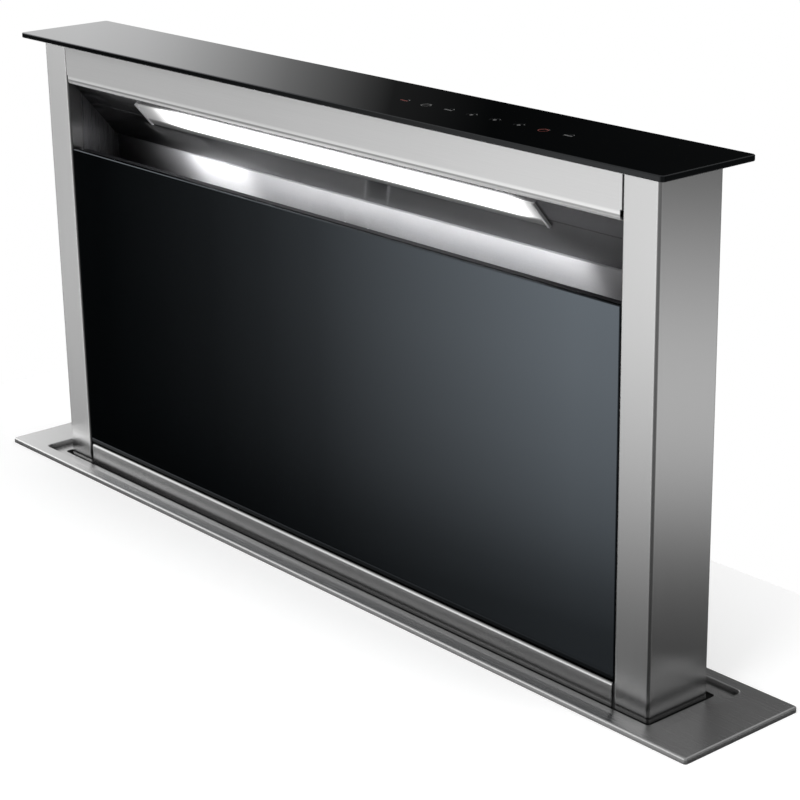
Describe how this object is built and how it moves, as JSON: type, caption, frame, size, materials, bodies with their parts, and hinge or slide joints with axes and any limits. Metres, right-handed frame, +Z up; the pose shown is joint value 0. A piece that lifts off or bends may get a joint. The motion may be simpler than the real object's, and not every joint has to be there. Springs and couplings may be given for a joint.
{
  "type": "downdraft vent",
  "caption": "Pop-up worktop extractor: a glass-fronted steel tower with a lit inlet slot rises from a trim flange, over a chassis with belt lift, blower and duct outlet.",
  "frame": {"origin": "centre of the trim flange, on the worktop's surface that it rests on", "axes": "+Z up, the way the tower rises; +Y towards the back, away from the glass front and inlet slot; +X along the flange to the right seen from the front, the side of the touch marks and the duct outlet"},
  "size_m": [0.88, 0.274, 1.0027],
  "materials": {
    "black_glass": "polished, back-painted black",
    "touch_marks": "printed",
    "tape": "matte",
    "brushed_steel": "brushed, satin",
    "black_plastic": "matte",
    "slope_sheet": "satin",
    "ground_steel": "ground and polished",
    "circuit_board": "solder mask",
    "opal": "opal, lit from behind",
    "galvanised": "galvanised sheet",
    "spring_steel": "bright wire",
    "aluminium": "satin",
    "filter_mesh": "perforated",
    "cast_alloy": "as cast",
    "white_polymer": "matte",
    "seal_rubber": "matte",
    "belt_rubber": "toothed",
    "black_sheet": "dark satin",
    "grey_plastic": "matte",
    "zinc_steel": "zinc plated"
  },
  "bodies": {
    "root": {"flange": "brushed_steel", "wiper_seal": "seal_rubber", "chassis_front": "galvanised", "chassis_back": "galvanised", "chassis_ends": "galvanised", "chassis_floor": "galvanised", "case_rivets": "ground_steel", "guide_rods": "ground_steel", "rod_holders": "cast_alloy", "drive_belts": "belt_rubber", "idler_axles": "ground_steel", "bearing_blocks": "cast_alloy", "lift_gearbox": "cast_alloy", "lift_motor": "black_sheet", "blower_case": "galvanised", "blower_cover": "galvanised", "scroll": "galvanised", "fan_motor": "black_sheet", "outlet_collar": "galvanised", "flap_pin": "ground_steel", "flap_springs": "spring_steel", "control_box": "galvanised", "control_cover": "galvanised", "control_board": "circuit_board", "cable_gland": "black_plastic", "worktop_clamps": "zinc_steel", "cabinet_brackets": "zinc_steel"},
    "tower": {"cap_glass": "black_glass", "touch_icons": "touch_marks", "bonding_tapes": "tape", "top_plate": "brushed_steel", "touch_module": "black_plastic", "post_left": "brushed_steel", "post_right": "brushed_steel", "header": "brushed_steel", "inlet_hood": "slope_sheet", "duct_back": "slope_sheet", "duct_cheeks": "slope_sheet", "tower_back": "brushed_steel", "tower_back_screws": "ground_steel", "led_housing": "brushed_steel", "led_board": "circuit_board", "led_cover": "opal", "front_glass": "black_glass", "glass_carrier": "galvanised", "carrier_clips": "spring_steel", "sill": "brushed_steel", "filter_frames": "aluminium", "filter_meshes": "filter_mesh", "filter_ledges": "galvanised", "carriage_frame": "cast_alloy", "slider_brackets": "cast_alloy", "guide_bushes": "white_polymer", "belt_clamps": "cast_alloy"},
    "lift_drive": {"drive_shaft": "ground_steel", "drive_pulleys": "cast_alloy"},
    "lift_idlers": {"idler_pulleys": "cast_alloy"},
    "fan": {"impeller": "black_plastic"},
    "front_flap": {"flap_front": "grey_plastic"},
    "rear_flap": {"flap_rear": "grey_plastic"}
  },
  "joints": [
    {"name": "tower_lift", "type": "slide", "parent": "root", "child": "tower", "axis": [0, 0, 1], "range_m": [-0.398, 0]},
    {"name": "drive_spin", "type": "hinge", "parent": "root", "child": "lift_drive", "pos_m": [0, -0.01, -0.5708], "axis": [1, 0, 0], "range_deg": [-1901, 1]},
    {"name": "idler_spin", "type": "hinge", "parent": "root", "child": "lift_idlers", "pos_m": [0, -0.01, -0.03], "axis": [1, 0, 0], "range_deg": [-1901, 1]},
    {"name": "fan_spin", "type": "hinge", "parent": "root", "child": "fan", "pos_m": [-0.015, -0.12, -0.425], "axis": [0, 1, 0], "continuous": true},
    {"name": "front_flap_swing", "type": "hinge", "parent": "root", "child": "front_flap", "pos_m": [0.177, -0.129, -0.501], "axis": [0, 0, 1], "range_deg": [0, 80], "stiffness_Nm_per_rad": 0.05, "springref_deg": -22.92},
    {"name": "rear_flap_swing", "type": "hinge", "parent": "root", "child": "rear_flap", "pos_m": [0.177, -0.129, -0.501], "axis": [0, 0, -1], "range_deg": [0, 80], "stiffness_Nm_per_rad": 0.05, "springref_deg": -22.92}
  ],
  "couplings": [
    {"joint": "drive_spin", "follows": "tower_lift", "rad_per_m": 83.333},
    {"joint": "idler_spin", "follows": "tower_lift", "rad_per_m": 83.333}
  ]
}
